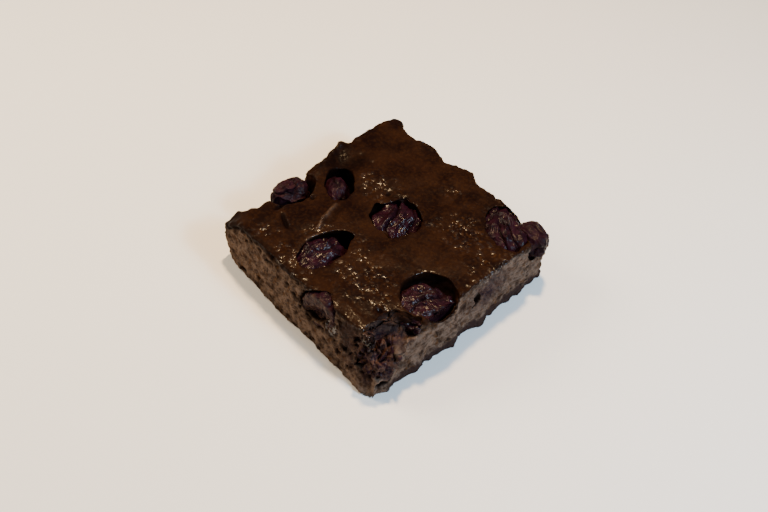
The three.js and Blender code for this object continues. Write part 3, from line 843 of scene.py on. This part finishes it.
# Whole cherries where the solids have them: fold is the height of the skin's wrinkles, size their
# spacing, grain the way they run (a larger number packs them closer along that axis), slump the sag
# on top, dry how little it shines, crumbs how much crumb sticks to it, shade how much darker it is,
# and knife the x where a cut ends it.
cherryPieces = {
    "cherry_front_left": dict(
        at=[-3.9, -24.2, 15.1], radii=[7.4, 9.2, 5.9], fold=1.0, size=3.8, grain=[1, 0.5, 1], slump=0.4,
        dry=0.25),
    "cherry_centre": dict(
        at=[0.2, 2.8, 14.9], radii=[8.8, 8.8, 6.2], turn=25, fold=1.7, size=4.4, grain=[1.2, 0.45, 0.5],
        slump=0.3),
    "cherry_front_right": dict(
        at=[30.1, -13.3, 14.9], radii=[10.2, 8.4, 6.5], turn=44, fold=1.2, size=3.8, grain=[0.6, 1, 0.8],
        slump=0.5, knife=34.6, crumbs=0.1),
    "cherry_left_edge": dict(
        at=[-31.4, -12.3, 14.7], radii=[4.7, 7.2, 5.0], turn=-4, fold=0.8, size=2.8, grain=[1, 0.35, 1],
        slump=0, dry=1, crumbs=0.1),
    "cherry_sunken": dict(
        at=[-23.6, -0.7, 13.4], radii=[6.4, 4.6, 5.4], turn=-41, fold=0.5, size=3.4, grain=[0.5, 1, 1],
        slump=0, dry=0.9),
    "cherry_right_edge": dict(
        at=[24.0, 25.4, 16.8], radii=[10.6, 6.4, 5.0], turn=-32, fold=1.1, size=3.4, grain=[0.35, 1, 1],
        slump=0.2, dry=0.6),
    "cherry_right_corner": dict(
        at=[29.9, 31.4, 15.2], radii=[6.0, 5.6, 4.8], fold=0.9, size=4.0, grain=[0.6, 1, 0.8], slump=0.2,
        dry=0.95, crumbs=0.1, shade=0.3),
    "cherry_front_corner": dict(
        at=[30.6, -31.0, 9.8], radii=[5.2, 5.2, 5.2], fold=1.7, size=3.0, grain=[1, 1, 1], slump=0, shade=0.1,
        dry=0.9, crumbs=0.85),
}
cherryGrid = {"sides": 160, "rings": 110}


def ringQuads(rings, sides):
    # quads between rings of points, and a fan from each end ring to its own one of two last points
    index = np.arange(rings * sides).reshape(rings, sides)
    after = np.roll(index, -1, axis=1)
    body = np.stack([index[:-1], index[1:], after[1:], after[:-1]], axis=-1).reshape(-1, 4)
    top = np.stack([np.full(sides, rings * sides), index[0], after[0], after[0]], axis=1)
    low = np.stack([np.full(sides, rings * sides + 1), after[-1], index[-1], index[-1]], axis=1)
    return np.concatenate([body, top, low])


def roundGrid(sides, rings):
    # unit directions on a sphere, ring by ring from the top pole to the bottom one
    polar = np.linspace(0, np.pi, rings + 1)[1:-1, None]
    around = np.linspace(0, 2 * np.pi, sides, endpoint=False)[None]
    ring = np.stack([
        np.sin(polar) * np.cos(around), np.sin(polar) * np.sin(around),
        np.cos(polar) * np.ones_like(around)], axis=-1).reshape(-1, 3)
    points = np.concatenate([ring, [[0, 0, 1], [0, 0, -1]]])
    return points, ringQuads(rings - 1, sides)


def skinWrinkles(points, size, grain, seed):
    # in space bent by noise and packed by grain: thin raised ridges, less thin deep creases
    bent = (points + 0.3 * size * wander(points, size * 1.6, seed)) * grain
    ridge = creases(bent, size, seed + 1) ** 2.5
    small = creases(bent, size * 0.45, seed + 2) ** 2
    crease = creases(bent, size * 1.5, seed + 3) ** 5
    return 0.75 * ridge + 0.22 * small - 0.9 * crease, crease


def makeCherry(name, at, radii, fold, size, grain, slump, turn=0, knife=99, shade=0, dry=0,
               crumbs=0, seed=0):
    # an ellipsoid with a broad dent or swelling, wrinkled along its normals, sagging on top and
    # cut level at x = knife
    direction, quads = roundGrid(cherryGrid["sides"], cherryGrid["rings"])
    points = direction * radii
    normals = pointNormals(points, quads)
    high, crease = skinWrinkles(points, size, grain, seed + 4)
    rise = fold * (high - 0.25) + 0.8 * layeredNoise(points, 6.0, 2, seed + 6)
    points = points + normals * rise[:, None]
    points[:, 2] -= slump * np.exp(-((1 - direction[:, 2]) / 0.3) ** 2)
    points = points @ axesOf(turn).T + at
    points[:, 0] = np.minimum(points[:, 0], knife)
    # painted shade in the deep creases
    fields = {
        "fold": np.maximum(crease, shade), "dry": np.full(len(points), dry),
        "crumbs": np.full(len(points), crumbs)}
    makePiece(name + "_baked", points, quads, fields, cherryMaterial, name)


for seed, (name, shape) in enumerate(cherryPieces.items()):
    makeCherry(name, seed=seed * 20 + 3, **shape)

# The front side's cherry: cut level with the cake, and hollow where its stone was.
cutCherry = {
    "at": [10.0, -33.2, 14.2], "radii": [8.0, 6.4, 6.2], "hollowAt": [9.2, -37, 13.0],
    "hollowRadii": [6.9, 3.3, 3.3], "knife": -35.9, "lean": 34, "sides": 160, "rows": 66,
    "dry": 0.9, "cutCrumbs": 0.55,  # how much crumb sticks to the cut
}


def makeCutCherry():
    # a profile carried round the Y axis: out along the ellipsoid from its back to the knife's
    # cut, across the cut, and in along the stone's hollow to its bottom
    look = cutCherry
    rows, sides = look["rows"], look["sides"]
    around = np.linspace(0, 2 * np.pi, sides, endpoint=False)
    outerEnd = np.arccos(np.clip((look["knife"] - look["at"][1]) / look["radii"][1], -1, 1))
    innerEnd = np.arccos(np.clip((look["knife"] - look["hollowAt"][1]) / look["hollowRadii"][1], -1, 1))

    def shell(at, radii, polar):  # rings of an ellipsoid at these angles from the Y axis
        ring = np.stack([
            np.sin(polar)[:, None] * np.cos(around), np.cos(polar)[:, None] * np.ones(sides),
            np.sin(polar)[:, None] * np.sin(around)], axis=-1)
        return ring * radii + at

    outer = shell(look["at"], look["radii"], np.linspace(0, outerEnd, rows + 1)[1:])
    inner = shell(look["hollowAt"], look["hollowRadii"], np.linspace(innerEnd, 0, rows // 2 + 1)[:-1])
    across = [outer[-1] + (inner[0] - outer[-1]) * t for t in (0.2, 0.4, 0.6, 0.8)]
    rings = np.concatenate([outer, across, inner])
    back = [look["at"][0], look["at"][1] + look["radii"][1], look["at"][2]]
    bottom = [look["hollowAt"][0], look["hollowAt"][1] + look["hollowRadii"][1], look["hollowAt"][2]]
    points = np.concatenate([rings.reshape(-1, 3), [back, bottom]])
    quads = ringQuads(len(rings), sides)
    points = eased(points, quads, 0.4, 2)
    deep = np.linalg.norm((points - look["hollowAt"]) / look["hollowRadii"], axis=1)
    deep = smoothStep(1.15, 0.98, deep)
    points = (points - look["at"]) @ axesOf(0, look["lean"]).T + look["at"]
    normals = pointNormals(points, quads)
    streak = creases(points * [0.5, 1, 1], 1.8, 303)
    relief = 0.30 * layeredNoise(points, 2.2, 3, 301) + 0.3 * streak ** 3
    points = points + normals * relief[:, None]
    fields = {
        "fold": np.zeros(len(points)), "dry": np.full(len(points), look["dry"]),
        "crumbs": np.maximum(deep, look["cutCrumbs"] * smoothStep(-35.0, -35.6, points[:, 1]))}
    makePiece(
        "cherry_front_side_cut", points, quads, fields, cherryMaterial, "cherry_front_side")


makeCutCherry()

print("stage: floor, lights and camera")

studio = {
    "floorColour": (0.88, 0.86, 0.83, 1),
    "floorRoughness": 0.6,
    "skyColour": (1.0, 0.97, 0.92, 1),
    "skyStrength": 0.15,
    # place and width in millimetres, watts, and colour; all point at aim
    "lights": {
        "coolWindow": dict(place=(340, 90, 320), width=170, watts=1.9, colour=(0.60, 0.80, 1.0)),
        "coolLamp": dict(place=(350, 80, 330), width=45, watts=1.1, colour=(0.55, 0.76, 1.0)),
        "warmWindow": dict(place=(-330, -190, 300), width=220, watts=2.1, colour=(1.0, 0.82, 0.60)),
        "ceilingLamp": dict(place=(-77, 80, 480), width=50, watts=3.9, colour=(1.0, 0.68, 0.36)),
    },
    "aim": (0, 0, 10),
}
photoCamera = {  # degrees and millimetres
    "azimuth": 44.0, "elevation": 47.0, "roll": 5.15, "distance": 286.4,
    "target": (-3.2, 2.5, 0.0), "lens": 42.19, "sensor": 36.0,
}


def aimed(place, forward, up):  # the matrix whose -Z looks forward with Y near up
    back = -np.array(forward, float) / np.linalg.norm(forward)
    right = np.cross(up, back)
    right /= np.linalg.norm(right)
    matrix = np.eye(4)
    matrix[:3, :3] = np.stack([right, np.cross(back, right), back], axis=1)
    matrix[:3, 3] = place
    return Matrix(matrix.tolist())


def makeFloor():  # a pale plane with slow, faint changes of tone
    floor = Finish("paleFloor")
    tone = floor.noise(60, 3, 0.5)
    paler = tuple(min(1, c * 1.03) for c in studio["floorColour"][:3]) + (1,)
    floor.give("Base Color", floor.mix(tone, studio["floorColour"], paler))
    floor.give("Roughness", studio["floorRoughness"])
    bpy.ops.mesh.primitive_plane_add(size=6)
    plane = bpy.context.object
    plane.name = "floor"
    plane.data.materials.append(floor.material)


def makeLights():  # round area lamps that point at the cake, and a weak even sky
    for name, light in studio["lights"].items():
        data = bpy.data.lights.new(name, "AREA")
        data.shape = "DISK"
        data.size = light["width"] * millimetre
        data.energy = light["watts"]
        data.color = light["colour"]
        lamp = bpy.data.objects.new(name, data)
        place = np.array(light["place"], float)
        lamp.matrix_world = aimed(place * millimetre, np.array(studio["aim"]) - place, (0, 0, 1))
        bpy.context.scene.collection.objects.link(lamp)
    world = bpy.context.scene.world or bpy.data.worlds.new("studio")
    bpy.context.scene.world = world
    world.use_nodes = True
    sky = world.node_tree.nodes["Background"]
    sky.inputs["Color"].default_value = studio["skyColour"]
    sky.inputs["Strength"].default_value = studio["skyStrength"]


def makeCamera():
    # stands off the target by the distance, along the azimuth and elevation, and is rolled last
    azimuth, elevation, roll = (np.radians(photoCamera[k]) for k in ("azimuth", "elevation", "roll"))
    back = np.array([
        np.sin(azimuth) * np.cos(elevation), -np.cos(azimuth) * np.cos(elevation), np.sin(elevation)])
    level = np.array([np.cos(azimuth), np.sin(azimuth), 0])
    up = np.cos(roll) * np.cross(back, level) - np.sin(roll) * level
    data = bpy.data.cameras.new("photoView")
    data.lens = photoCamera["lens"]
    data.sensor_width = photoCamera["sensor"]
    data.clip_start, data.clip_end = 0.01, 20
    camera = bpy.data.objects.new("photoView", data)
    place = (np.array(photoCamera["target"]) - boxMiddle + back * photoCamera["distance"]) * millimetre
    camera.matrix_world = aimed(place, -back, up)
    bpy.context.scene.collection.objects.link(camera)
    bpy.context.scene.camera = camera


makeFloor()
makeLights()
makeCamera()
